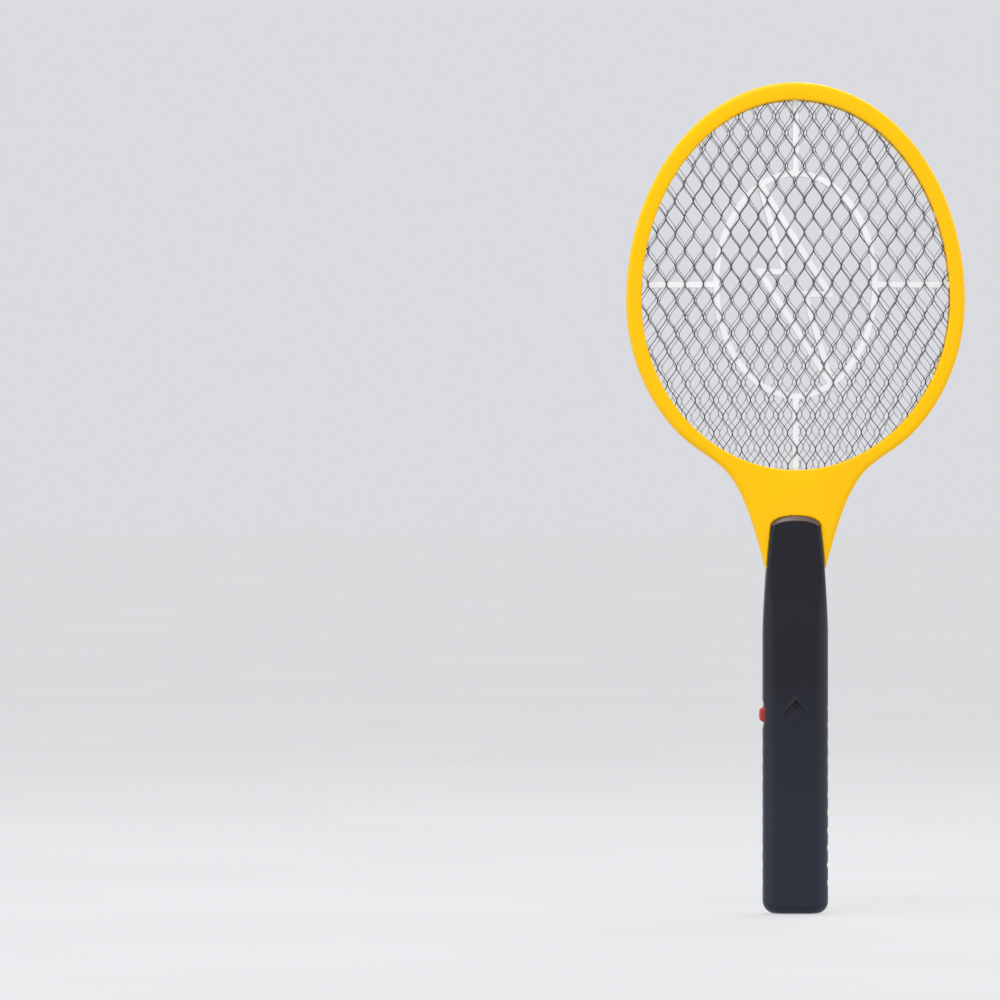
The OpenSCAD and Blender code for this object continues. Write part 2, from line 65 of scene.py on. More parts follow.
def mesh_from(name, verts, faces):
    me = bpy.data.meshes.new(name)
    me.from_pydata([tuple(map(float, v)) for v in verts], [], [tuple(f) for f in faces])
    bm = bmesh.new()
    bm.from_mesh(me)
    if bm.calc_volume(signed=True) < 0:
        bmesh.ops.reverse_faces(bm, faces=bm.faces[:])
    bm.to_mesh(me)
    bm.free()
    me.update()
    return me


def loft(name, rings):
    r = np.array(rings, float)
    m, n, _ = r.shape
    faces = []
    for i in range(m - 1):
        for j in range(n):
            a, b = i * n + j, i * n + (j + 1) % n
            faces.append((a, b, b + n, a + n))
    faces.append(tuple(range(n - 1, -1, -1)))
    faces.append(tuple((m - 1) * n + j for j in range(n)))
    return mesh_from(name, r.reshape(-1, 3), faces)


def box(lo, hi):
    (x0, y0, z0), (x1, y1, z1) = lo, hi
    v = [(x, y, z) for z in (z0, z1) for x, y in ((x0, y0), (x1, y0), (x1, y1), (x0, y1))]
    return loft("box", [v[:4], v[4:]])


def prism(outline, y0, y1):
    """Upright plan (x, z) between y0 and y1."""
    return loft("prism", [[(x, y, z) for x, z in outline] for y in (y0, y1)])


def rod_y(x, z, y0, y1, r, n=40, r2=None):
    r2 = r if r2 is None else r2
    c = [(math.cos(2 * math.pi * i / n), math.sin(2 * math.pi * i / n)) for i in range(n)]
    return loft("rod", [[(x + r * a, y0, z + r * b) for a, b in c], [(x + r2 * a, y1, z + r2 * b) for a, b in c]])


def rod_x(y, z, x0, x1, r, n=32):
    c = [(math.cos(2 * math.pi * i / n), math.sin(2 * math.pi * i / n)) for i in range(n)]
    return loft("rod", [[(x, y + r * a, z + r * b) for a, b in c] for x in (x0, x1)])


def joined(*meshes):
    """Several separate closed meshes as one."""
    bm = bmesh.new()
    for me in meshes:
        bm.from_mesh(me)
    out = bpy.data.meshes.new("joined")
    bm.to_mesh(out)
    bm.free()
    return out


def boolean(a, b, op="DIFFERENCE"):
    for solver in (SOLVER, "EXACT"):
        oa, ob = bpy.data.objects.new("op_a", a), bpy.data.objects.new("op_b", b)
        COL.objects.link(oa)
        COL.objects.link(ob)
        md = oa.modifiers.new("op", "BOOLEAN")
        md.operation, md.object = op, ob
        md.solver = solver
        dg = bpy.context.evaluated_depsgraph_get()
        me = bpy.data.meshes.new_from_object(oa.evaluated_get(dg))
        bpy.data.objects.remove(oa)
        bpy.data.objects.remove(ob)
        if len(me.polygons) and not (op == "DIFFERENCE" and len(me.polygons) == len(a.polygons) and solver == SOLVER and len(me.vertices) == len(a.vertices)):
            return me
    print("boolean changed nothing:", op, len(a.polygons), len(b.polygons))
    return me


def cut(a, *tools):
    for t in tools:
        a = boolean(a, t)
    return a


def add(a, *more):
    for t in more:
        a = boolean(a, t, "UNION")
    return a


def both(a, b):
    return boolean(a, b, "INTERSECT")


def piece(name, me, body, nodes, mat, sharp=32.0):
    bm = bmesh.new()
    bm.from_mesh(me)
    bmesh.ops.remove_doubles(bm, verts=bm.verts[:], dist=0.0004)
    bmesh.ops.dissolve_degenerate(bm, edges=bm.edges[:], dist=0.0004)
    bm.to_mesh(me)
    bm.free()
    me.transform(Matrix.Scale(MM, 4))
    me.name = name
    me.materials.clear()
    me.materials.append(mat)
    me.polygons.foreach_set("use_smooth", [True] * len(me.polygons))
    me.polygons.foreach_set("material_index", [0] * len(me.polygons))
    me.set_sharp_from_angle(angle=math.radians(sharp))
    me.update()
    o = bpy.data.objects.new(name, me)
    COL.objects.link(o)
    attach(o, body)
    if nodes:
        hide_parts(*nodes)
    return o


def smooth01(a, b, x):
    t = np.clip((np.asarray(x, float) - a) / (b - a), 0, 1)
    return t * t * (3 - 2 * t)


# ------------------------------------------------------------------ materials
def shader(name):
    m = bpy.data.materials.new(name)
    m.use_nodes = True
    nt = m.node_tree
    nt.nodes.clear()
    out = nt.nodes.new("ShaderNodeOutputMaterial")
    b = nt.nodes.new("ShaderNodeBsdfPrincipled")
    nt.links.new(b.outputs["BSDF"], out.inputs["Surface"])
    co = nt.nodes.new("ShaderNodeTexCoord")
    return m, nt, b, co.outputs["Object"]


def noise(nt, co, scale, detail=2.0, rough=0.5, stretch=None):
    if stretch:
        mp = nt.nodes.new("ShaderNodeMapping")
        mp.inputs["Scale"].default_value = stretch
        nt.links.new(co, mp.inputs["Vector"])
        co = mp.outputs["Vector"]
    n = nt.nodes.new("ShaderNodeTexNoise")
    n.inputs["Scale"].default_value = scale
    n.inputs["Detail"].default_value = detail
    n.inputs["Roughness"].default_value = rough
    nt.links.new(co, n.inputs["Vector"])
    return n.outputs["Fac"]


def remap(nt, v, a, b, c, d):
    n = nt.nodes.new("ShaderNodeMapRange")
    for i, x in zip(("From Min", "From Max", "To Min", "To Max"), (a, b, c, d)):
        n.inputs[i].default_value = x
    nt.links.new(v, n.inputs["Value"])
    return n.outputs["Result"]


def mix(nt, fac, a, b):
    n = nt.nodes.new("ShaderNodeMix")
    n.data_type = "RGBA"
    for sock, v in ((n.inputs["Factor"], fac), (n.inputs[6], a), (n.inputs[7], b)):
        if isinstance(v, (int, float)):
            sock.default_value = v
        elif isinstance(v, tuple):
            sock.default_value = (*v, 1.0)
        else:
            nt.links.new(v, sock)
    return n.outputs[2]


def maths(nt, op, a, b):
    n = nt.nodes.new("ShaderNodeMath")
    n.operation = op
    for sock, v in zip(n.inputs, (a, b)):
        if isinstance(v, (int, float)):
            sock.default_value = v
        else:
            nt.links.new(v, sock)
    return n.outputs[0]


def edges(nt, radius, lo=0.015, hi=0.16):
    """1 on outer edges, 0 on flats: how far a rounded normal leans from the real one."""
    bv = nt.nodes.new("ShaderNodeBevel")
    bv.samples = 3
    bv.inputs["Radius"].default_value = radius
    geo = nt.nodes.new("ShaderNodeNewGeometry")
    dot = nt.nodes.new("ShaderNodeVectorMath")
    dot.operation = "DOT_PRODUCT"
    nt.links.new(bv.outputs["Normal"], dot.inputs[0])
    nt.links.new(geo.outputs["Normal"], dot.inputs[1])
    return remap(nt, maths(nt, "SUBTRACT", 1.0, dot.outputs["Value"]), lo, hi, 0.0, 1.0)


def bump(nt, b, height, distance, strength=1.0):
    n = nt.nodes.new("ShaderNodeBump")
    n.inputs["Strength"].default_value = strength
    n.inputs["Distance"].default_value = distance
    nt.links.new(height, n.inputs["Height"])
    nt.links.new(n.outputs["Normal"], b.inputs["Normal"])


def shade(c, k):
    return tuple(min(1.0, x * k) for x in c)


def above(nt, z_from, z_to, lean_from, lean_to):
    """1 where a surface above z_from (metres) leans upwards, from the object's own height and normal."""
    co = nt.nodes.new("ShaderNodeTexCoord")
    pos, nor = nt.nodes.new("ShaderNodeSeparateXYZ"), nt.nodes.new("ShaderNodeSeparateXYZ")
    nt.links.new(co.outputs["Object"], pos.inputs[0])
    nt.links.new(co.outputs["Normal"], nor.inputs[0])
    return maths(nt, "MULTIPLY", remap(nt, pos.outputs["Z"], z_from, z_to, 0.0, 1.0), remap(nt, nor.outputs["Z"], lean_from, lean_to, 0.0, 1.0))


def marks(nt):
    """1 on the upper flanks of the raised marks on the front face, where a highlight is painted, stronger on the flanks
    that face left, towards the light.
    """
    co = nt.nodes.new("ShaderNodeTexCoord")
    pos, nor = nt.nodes.new("ShaderNodeSeparateXYZ"), nt.nodes.new("ShaderNodeSeparateXYZ")
    nt.links.new(co.outputs["Object"], pos.inputs[0])
    nt.links.new(co.outputs["Normal"], nor.inputs[0])
    k = above(nt, 0.1035, 0.1045, 0.2, 0.3)
    # the painted highlight is kept full on left-facing flanks and weakened on right-facing ones, as the light falls
    # from the left
    k = maths(nt, "MULTIPLY", k, remap(nt, nor.outputs["X"], -0.1, 0.1, 1.0, 0.25))
    k = maths(nt, "MULTIPLY", k, remap(nt, pos.outputs["Z"], 0.1160, 0.1165, 1.0, 0.0))
    return maths(nt, "MULTIPLY", k, remap(nt, pos.outputs["Y"], -0.0134, -0.0136, 0.0, 1.0))


def plastic(name, base, rough=0.4, vary=0.05, grain=2400.0, depth=2.0e-5, worn=None, worn_by=0.35, spec=0.5, coat=0.0, sheen=0.0, sss=0.0, polish_and_highlight=None, painted_low_light=None):
    m, nt, b, co = shader(name)
    wide = noise(nt, co, 22, 3)
    near = noise(nt, co, 210, 4, 0.6)
    fine = noise(nt, co, grain, 2)
    c = mix(nt, remap(nt, wide, 0.3, 0.7, 0, 1), shade(base, 1 - vary), shade(base, 1 + vary))
    c = mix(nt, remap(nt, near, 0.45, 0.8, 0, 0.35), c, shade(base, 1 - 1.6 * vary))
    # painted light: the handle's colour is made lighter and bluer towards the bottom, as if lit more from below
    if painted_low_light:
        z_top, z_low, low_lit_colour = painted_low_light
        sep = nt.nodes.new("ShaderNodeSeparateXYZ")
        nt.links.new(co, sep.inputs[0])
        k = maths(nt, "MULTIPLY", remap(nt, sep.outputs["Z"], z_top, z_low, 0.0, 1.0), remap(nt, near, 0.25, 0.75, 0.85, 1.0))
        c = mix(nt, k, c, low_lit_colour)
    if worn:
        e = maths(nt, "MULTIPLY", edges(nt, 0.0005), remap(nt, noise(nt, co, 320, 3), 0.35, 0.65, 0.15, worn_by))
        c = mix(nt, e, c, worn)
    r = maths(nt, "ADD", remap(nt, near, 0.3, 0.7, rough - 0.05, rough + 0.05), remap(nt, fine, 0.3, 0.7, -0.03, 0.03))
    # painted highlight: a lighter warm colour on the tongue's upward-facing top bevel, where the top light falls; the
    # roughness there is also lowered
    if polish_and_highlight:
        highlight_tint, smoother, where = polish_and_highlight
        k = above(nt, *where)
        c = mix(nt, k, c, highlight_tint)
        r = maths(nt, "SUBTRACT", r, maths(nt, "MULTIPLY", k, smoother))
        # painted highlight on the upper flanks of the raised marks
        c = mix(nt, marks(nt), c, (0.052, 0.052, 0.060))
    nt.links.new(c, b.inputs["Base Color"])
    nt.links.new(r, b.inputs["Roughness"])
    bump(nt, b, fine, depth)
    b.inputs["Specular IOR Level"].default_value = spec
    b.inputs["Coat Weight"].default_value = coat
    b.inputs["Coat Roughness"].default_value = 0.25
    b.inputs["Sheen Weight"].default_value = sheen
    b.inputs["Sheen Roughness"].default_value = 0.45
    b.inputs["Sheen Tint"].default_value = (0.78, 0.84, 1.0, 1.0)
    if sss:
        b.inputs["Subsurface Weight"].default_value = sss
        b.inputs["Subsurface Scale"].default_value = 0.001
    return m


def metal(name, base, rough=0.35, dark=0.6, metallic=1.0, stretch=(1, 1, 1), scale=900.0, tarnish=None):
    m, nt, b, co = shader(name)
    a = noise(nt, co, scale, 3, 0.6, stretch)
    w = noise(nt, co, 60, 3)
    c = mix(nt, remap(nt, w, 0.35, 0.65, 0, 1), shade(base, dark), base)
    c = mix(nt, remap(nt, a, 0.5, 0.8, 0, 0.6), c, tarnish or shade(base, dark * 0.7))
    nt.links.new(c, b.inputs["Base Color"])
    nt.links.new(remap(nt, a, 0.3, 0.7, rough - 0.09, rough + 0.12), b.inputs["Roughness"])
    b.inputs["Metallic"].default_value = metallic
    bump(nt, b, a, 1.2e-5)
    return m


YELLOW = plastic("yellow_abs", (0.93, 0.515, 0.0012), 0.36, 0.025, 1700, 1.1e-5, (0.97, 0.62, 0.02), 0.4, 0.14)
# The dark handle plastic has painted light in its colour: a painted highlight on the tongue's top bevel and on the
# raised marks by the indicator, and painted light that makes the lower handle lighter and bluer.
BLACK = plastic("dark_abs", (0.0100, 0.0105, 0.0158), 0.48, 0.16, 2600, 3.0e-5, (0.045, 0.047, 0.056), 0.5, 0.22, sheen=0.08,
                polish_and_highlight=((0.115, 0.080, 0.062), 0.22, (0.2030, 0.2045, 0.30, 0.42)), painted_low_light=(0.135, 0.055, (0.0165, 0.0185, 0.0305)))
WHITE = plastic("white_abs", (0.80, 0.80, 0.795), 0.42, 0.03, 1900, 1.5e-5, (0.86, 0.86, 0.85), 0.4, 0.4)
RED = plastic("red_abs", (0.42, 0.022, 0.020), 0.36, 0.06, 2100, 1.2e-5, (0.70, 0.12, 0.07), 0.4, 0.35, coat=0.1)
# The front grid's steel is a darker copy of the grid steel, with shade painted into its colour; the centre and rear
# grids use a paler copy of the same steel.
STEEL = metal("grid_steel", (0.105, 0.097, 0.09), 0.44, 0.6, 0.75, (1, 1, 0.3), 700, (0.045, 0.038, 0.033))
PALE_STEEL = metal("grid_steel_pale", (0.40, 0.39, 0.385), 0.46, 0.65, 0.55, (1, 1, 0.3), 700, (0.16, 0.14, 0.125))
TIN = metal("tinned_steel", (0.70, 0.69, 0.66), 0.3, 0.82, 1.0, (1, 1, 0.2), 800)
SCREW = metal("screw_steel", (0.30, 0.30, 0.31), 0.36, 0.7, 1.0, (1, 1, 1), 1200, (0.11, 0.10, 0.095))
BLACKP = plastic("black_plastic", (0.018, 0.018, 0.02), 0.36, 0.2, 2200, 1.2e-5, (0.07, 0.07, 0.07), 0.4, 0.45)
IVORY = plastic("ivory_plastic", (0.72, 0.66, 0.52), 0.4, 0.05, 1800, 1.2e-5, (0.85, 0.8, 0.68), 0.3)
FERRITE = plastic("ferrite", (0.045, 0.043, 0.042), 0.7, 0.25, 1300, 6.0e-5, (0.12, 0.115, 0.11), 0.6, 0.3)
FILM = plastic("brown_film", (0.20, 0.075, 0.022), 0.28, 0.1, 900, 2.5e-5, None, 0.3, 0.5, coat=0.6)
CERAMIC = plastic("blue_ceramic", (0.035, 0.12, 0.36), 0.3, 0.1, 800, 2.0e-5, None, 0.3, 0.5, coat=0.5)
LAMP = plastic("pink_lamp", (0.022, 0.016, 0.018), 0.3, 0.06, 900, 0.1e-5, None, 0.3, 0.16)
REDW = plastic("red_insulation", (0.42, 0.02, 0.018), 0.38, 0.1, 1500, 1.5e-5)
BLKW = plastic("black_insulation", (0.02, 0.02, 0.022), 0.4, 0.2, 1500, 1.5e-5)


def board_material():
    m, nt, b, co = shader("phenolic_board")
    fibres = noise(nt, co, 500, 4, 0.6, (1, 1, 0.15))
    c = mix(nt, remap(nt, fibres, 0.35, 0.65, 0, 1), (0.34, 0.20, 0.075), (0.47, 0.30, 0.13))
    wv = nt.nodes.new("ShaderNodeTexVoronoi")
    wv.inputs["Scale"].default_value = 190
    nt.links.new(co, wv.inputs["Vector"])
    c = mix(nt, remap(nt, wv.outputs["Distance"], 0.10, 0.16, 0.75, 0.0), c, (0.75, 0.74, 0.70))
    nt.links.new(c, b.inputs["Base Color"])
    nt.links.new(remap(nt, fibres, 0.3, 0.7, 0.45, 0.62), b.inputs["Roughness"])
    bump(nt, b, fibres, 2.0e-5)
    return m


def banded(name, bands, rough, metallic, scale=700.0, axis="Z"):
    """Colours that follow height in metres, each with grain: bands is a list of (from height, colour)."""
    m, nt, b, co = shader(name)
    sep = nt.nodes.new("ShaderNodeSeparateXYZ")
    nt.links.new(co, sep.inputs[0])
    h = sep.outputs[axis]
    c = None
    for at, col in bands:
        step = remap(nt, h, at - 5e-5, at + 5e-5, 0.0, 1.0)
        c = mix(nt, step, c if c is not None else col, col)
    g = noise(nt, co, scale, 3, 0.55, (1, 1, 0.2))
    c = mix(nt, remap(nt, g, 0.4, 0.8, 0, 0.3), c, (0.03, 0.03, 0.03))
    nt.links.new(c, b.inputs["Base Color"])
    nt.links.new(remap(nt, g, 0.3, 0.7, rough - 0.06, rough + 0.1), b.inputs["Roughness"])
    b.inputs["Metallic"].default_value = metallic
    bump(nt, b, g, 1.0e-5)
    return m


BOARD = board_material()
TAPE = banded("coil_tape", [(-1, (0.62, 0.36, 0.05)), (0.1305, (0.70, 0.44, 0.08)), (0.1315, (0.62, 0.36, 0.05))], 0.3, 0.0)
RESIST = banded("tan_resistor", [(-1, (0.62, 0.44, 0.24)), (0.5, (0.62, 0.44, 0.24))], 0.45, 0.0, 1500)

# ------------------------------------------------------------------ head
HEAD_Z = 326.4
HEAD_W, HEAD_UP, HEAD_DN = 90.0, 115.6, 98.5
SHOULDER = 183.7
RIM_ANGLES = (25, 90, 155, 207, 333)


def egg(d, n=240, crown=0.0):
    t = np.arange(n) * 2 * math.pi / n
    s = np.sin(t)
    return np.stack([(HEAD_W - d) * np.cos(t), HEAD_Z + np.where(s >= 0, HEAD_UP - d - crown, HEAD_DN - d) * s], 1)


def rim_point(deg, d=4.2):
    t = math.radians(deg)
    return (HEAD_W - d) * math.cos(t), HEAD_Z + ((HEAD_UP if math.sin(t) >= 0 else HEAD_DN) - d) * math.sin(t)


SCREWS = [rim_point(a) for a in RIM_ANGLES]
NECK_SCREWS = [(-15.0, 222.0), (15.0, 222.0)]


def neck_hw(z):
    z = np.asarray(z, float)
    return 15.8 + 0.262 * (z - SHOULDER) + 16.0 * np.exp((z - 244.4) / 12)


def head_outline():
    """Closed outline of the head and neck, anticlockwise, running on below the shoulder."""
    zs = np.linspace(174.0, 247.0, 46)
    right = np.stack([neck_hw(zs), zs], 1)
    e = egg(0, 900)
    e = e[(e[:, 1] > 248.6)]
    ang = np.arctan2(e[:, 1] - HEAD_Z, e[:, 0])
    ang = np.where(ang < -math.pi / 2, ang + 2 * math.pi, ang)
    e = e[np.argsort(ang)][::3]
    left = right[::-1] * np.array([-1, 1])
    p = np.concatenate([right, e, left])
    for _ in range(10):
        q = (np.roll(p, 1, 0) + np.roll(p, -1, 0)) / 2
        w = ((p[:, 1] > 238) & (p[:, 1] < 262)).astype(float)[:, None] * 0.6
        p = p * (1 - w) + q * w
    return p


OUT = head_outline()


def offset(p, d):
    """The outline moved inwards by d."""
    a, b = p - np.roll(p, 1, 0), np.roll(p, -1, 0) - p
    a /= np.linalg.norm(a, axis=1)[:, None]
    b /= np.linalg.norm(b, axis=1)[:, None]
    na, nb = np.stack([-a[:, 1], a[:, 0]], 1), np.stack([-b[:, 1], b[:, 0]], 1)
    n = na + nb
    n /= (1 + (na * nb).sum(1))[:, None]
    return p + n * d


def grip_hw(z):
    hw = 17.3
    if z < 6.5:
        return hw - 6.5 + 6.5 * math.sqrt(max(0, 1 - ((6.5 - z) / 6.5) ** 2))
    if z < 150:
        return hw
    if z < SHOULDER:
        return hw - 1.9 * ((z - 150) / (SHOULDER - 150)) ** 1.3
    if z < 205:
        return hw - 1.9 - 2.1 * (z - SHOULDER) / (205 - SHOULDER)
    return 13.3 * max(0.0, 1 - (max(0.0, z - 205) / 6.4) ** 2.6) ** 0.45


def grip_hd(z):
    hd = 14.0
    if z < 5:
        return hd - 5 + 5 * math.sqrt(max(0, 1 - ((5 - z) / 5) ** 2))
    if z < 145:
        return hd
    if z < SHOULDER:
        return hd - 1.6 * ((z - 145) / (SHOULDER - 145)) ** 1.4
    if z < 208.4:
        return hd - 1.6 - 0.9 * (z - SHOULDER) / (208.4 - SHOULDER)
    return 11.5


def tongue_z_at(w):
    """Height at which the tongue is w wide each side, above its straight sides."""
    return 205 + 6.4 * (1 - (w / 13.3) ** (1 / 0.45)) ** (1 / 2.6)


def tongue_outline(g, low=170.0):
    zs = list(np.linspace(low, 205, 16))
    right = [(grip_hw(z), z) for z in zs]
    right += [(w, tongue_z_at(w)) for w in 13.3 * np.cos(np.linspace(0.12, 1.53, 22))]
    left = [(-x, z) for x, z in right[::-1]]
    return offset(np.array(right + left), -g)


def frame_half(s):
    """One half of the head frame: s is -1 in front and 1 behind."""
    prof = [(0.30, 0.0), (0.0, 0.30), (0.0, 7.5), (0.10, 8.2), (0.38, 8.85), (0.85, 9.38), (1.5, 9.74), (2.3, 9.93), (3.2, 10.0)]
    body = loft("head", [[(x, s * y, z) for x, z in offset(OUT, d)] for d, y in prof])
    body = cut(body, box((-60, -20, 150), (60, 20, SHOULDER)))
    hole = [(8.0, 6.4), (8.0, 8.9), (7.93, 9.3), (7.75, 9.64), (7.45, 9.88), (7.0, 10.0), (6.6, 10.05), (6.5, 11.0)]
    body = cut(body, loft("hole", [[(x, s * y, z) for x, z in egg(d, 240, 1.4)] for d, y in hole]))
    body = cut(body, prism(offset(OUT, 2.5), s * 7.4, s * -2.0))
    body = cut(body, prism(tongue_outline(0.62), s * 8.6, s * 12))
    spigot = cut(box((-13.3, min(s * 8, 0), 150), (13.3, max(s * 8, 0), SHOULDER + 0.6)),
                 box((-11.3, min(s * 6.4, s * -1), 149), (11.3, max(s * 6.4, s * -1), SHOULDER + 2)))
    body = add(body, spigot)
    posts = [rod_y(x, z, s * 7.6, 0, 2.4, 32) for x, z in SCREWS] + [rod_y(x, z, s * 7.6, 0, 3.0, 32) for x, z in NECK_SCREWS]
    body = add(body, joined(*posts, rod_y(0, 197, s * 8.3, 0, 4.2)))
    spots = SCREWS + NECK_SCREWS
    if s < 0:
        body = cut(body, joined(*[rod_y(x, z, -6.5, 1, 1.05, 20) for x, z in spots]), rod_y(0, 197, -12, 1, 3.0))
    else:
        body = cut(body, joined(*[rod_y(x, z, -1, 7.9, 1.3, 20) for x, z in spots]), rod_y(0, 197, -1, 12, 1.5))
        wells = [loft("well", [[(x + r * math.cos(a), y, z + r * math.sin(a)) for a in np.arange(40) * math.pi / 20]
                               for y, r in ((7.7, 2.6), (9.6, 2.6), (9.85, 2.72), (10.02, 2.95), (11, 3.1))]) for x, z in spots]
        body = cut(body, joined(*wells))
    return body


piece("head_front_frame.skin", frame_half(-1), "racket", ["head_front_frame"], YELLOW, 26)
piece("head_rear_frame.skin", frame_half(1), "racket", ["head_rear_frame"], YELLOW, 26)

# ------------------------------------------------------------------ grids of expanded steel
CW, CH, KNOT = 9.8, 17.7, 0.8


def cell_rings(half_knot, half_strand):
    """Centre line round one opening and the opening itself."""
    n, tip = 6, CH / 2 - KNOT
    right = [(CW / 2, -KNOT), (CW / 2, 0.0)]
    for i in range(n):
        t = i / n
        st = 0.6 * t + 0.4 * (3 * t * t - 2 * t ** 3)
        right.append((CW / 2 * (1 - st), KNOT + (tip - KNOT) * t))
    # right side going up, tip, left side going down, then the lower half
    pts = right + [(0.0, tip)] + [(-x, z) for x, z in right[::-1]][:-1]
    pts = pts + [(-x, -z) for x, z in right[2:]] + [(0.0, -tip)] + [(x, -z) for x, z in right[::-1]][:-2]
    v = np.array(pts)
    keep = [0]
    for i in range(1, len(v)):
        if np.linalg.norm(v[i] - v[keep[-1]]) > 1e-6:
            keep.append(i)
    v = v[keep]
    if np.linalg.norm(v[0] - v[-1]) < 1e-6:
        v = v[:-1]
    w = half_strand + (half_knot - half_strand) * np.exp(-((np.abs(v[:, 0]) - CW / 2) / 0.8) ** 2)
    a, b = v - np.roll(v, 1, 0), np.roll(v, -1, 0) - v
    a /= np.linalg.norm(a, axis=1)[:, None]
    b /= np.linalg.norm(b, axis=1)[:, None]
    na, nb = np.stack([-a[:, 1], a[:, 0]], 1), np.stack([-b[:, 1], b[:, 0]], 1)
    nn = na + nb
    nn /= (1 + (na * nb).sum(1))[:, None]
    h = v + nn * w[:, None]
    return v, h


def lattice(anchor, tilt, half_knot, half_strand, half_t):
    v, h = cell_rings(half_knot, half_strand)
    m = len(v)
    verts, index, faces, used = [], {}, [], {}

    def vert(x, y, z):
        k = (round(x, 3), round(y, 3), round(z, 3))
        if k not in index:
            index[k] = len(verts)
            verts.append((x, y, z))
        return index[k]

    ct, st = math.cos(math.radians(tilt)), math.sin(math.radians(tilt))
    for k in (0, 1):
        for i in range(-18, 19):
            for j in range(-12, 13):
                cx, cz = (i + k / 2) * CW, (j + k / 2) * CH
                px, pz = anchor[0] * CW + cx * ct - cz * st, anchor[1] * CH + cx * st + cz * ct
                if math.hypot(px / HEAD_W, pz / (HEAD_UP if pz > 0 else HEAD_DN)) > 1.13:
                    continue
                lean = -0.13 * h[:, 1] / 7.0
                vf = [vert(cx + p[0], -half_t, cz + p[1]) for p in v]
                vb = [vert(cx + p[0], half_t, cz + p[1]) for p in v]
                hf = [vert(cx + p[0], l - 0.45 * half_t, cz + p[1]) for p, l in zip(h, lean)]
                hb = [vert(cx + p[0], l + 0.45 * half_t, cz + p[1]) for p, l in zip(h, lean)]
                for a in range(m):
                    b = (a + 1) % m
                    faces.append((vf[a], vf[b], hf[b], hf[a]))
                    faces.append((hf[a], hf[b], hb[b], hb[a]))
                    faces.append((hb[a], hb[b], vb[b], vb[a]))
                    e = (min(vf[a], vf[b]), max(vf[a], vf[b]))
                    used.setdefault(e, []).append((vf[a], vf[b], vb[a], vb[b]))
    for e, u in used.items():
        if len(u) == 1:
            fa, fb, ba, bb = u[0]
            faces.append((fb, fa, ba, bb))
    turned = [(anchor[0] * CW + x * ct - z * st, y, HEAD_Z + anchor[1] * CH + x * st + z * ct) for x, y, z in verts]
    return mesh_from("lattice", turned, faces)


def grid(anchor, tilt, tab_x, half_strand, half_knot):
    half_t = 0.25
    web = lattice(anchor, tilt, half_knot, half_strand, half_t)
    web = both(web, prism(egg(4.5), -3, 3))
    ears = [rod_y(x, z, -0.25, 0.25, 3.6, 36) for x, z in SCREWS]
    ring = cut(prism(egg(3.8), -0.25, 0.25), prism(egg(5.1), -3, 3))
    ring = add(ring, *[both(e, prism(egg(3.8), -3, 3)) for e in ears])
    ring = add(ring, box((tab_x - 2, -0.25, 219), (tab_x + 2, 0.25, 233)))
    web = add(web, ring)
    return cut(web, joined(*[rod_y(x, z, -3, 3, 2.6, 36) for x, z in SCREWS]))


def moved(me, y):
    me.transform(Matrix.Translation((0, y, 0)))
    return me


# the front grid gets the steel with painted shade
piece("front_grid.web", moved(grid((0, 0), 0.5, -7.5, 0.22, 0.32), -7.15), "racket", ["front_grid"], STEEL, 30)
piece("center_grid.web", grid((-4, 2), 2.1, 5.5, 0.17, 0.25), "racket", ["center_grid"], PALE_STEEL, 30)
piece("rear_grid.web", moved(grid((5, 1), -1.1, -7.5, 0.17, 0.25), 7.15), "racket", ["rear_grid"], PALE_STEEL, 30)

# ------------------------------------------------------------------ handle
GROOVES = [16.5 + 9.3 * i for i in range(11)]
SIDE_DEPTH = [0.36, 0.50, 0.40, 0.34, 0.30, 0.22, 0.20, 0.20, 0.18, 0.20, 0.18]
FRONT_DROP = 0.3  # the front face lies this much below the raised marks on it

LEVELS = [10, 9.3, 8.6, 7.9, 7.2, 6.7, 6.4, 6.075, 5.75, 5.2, 4.5, 3.8, 3.1, 2.4, 1.7, 1.0, 0.5, 0.26, 0.13, 0.0]
LEVELS += [-0.13, -0.26, -0.5, -1.0, -1.7, -2.4, -3.1, -3.8, -4.5, -5.2, -5.9, -6.6, -7.2, -7.8, -8.4, -9.2, -10]


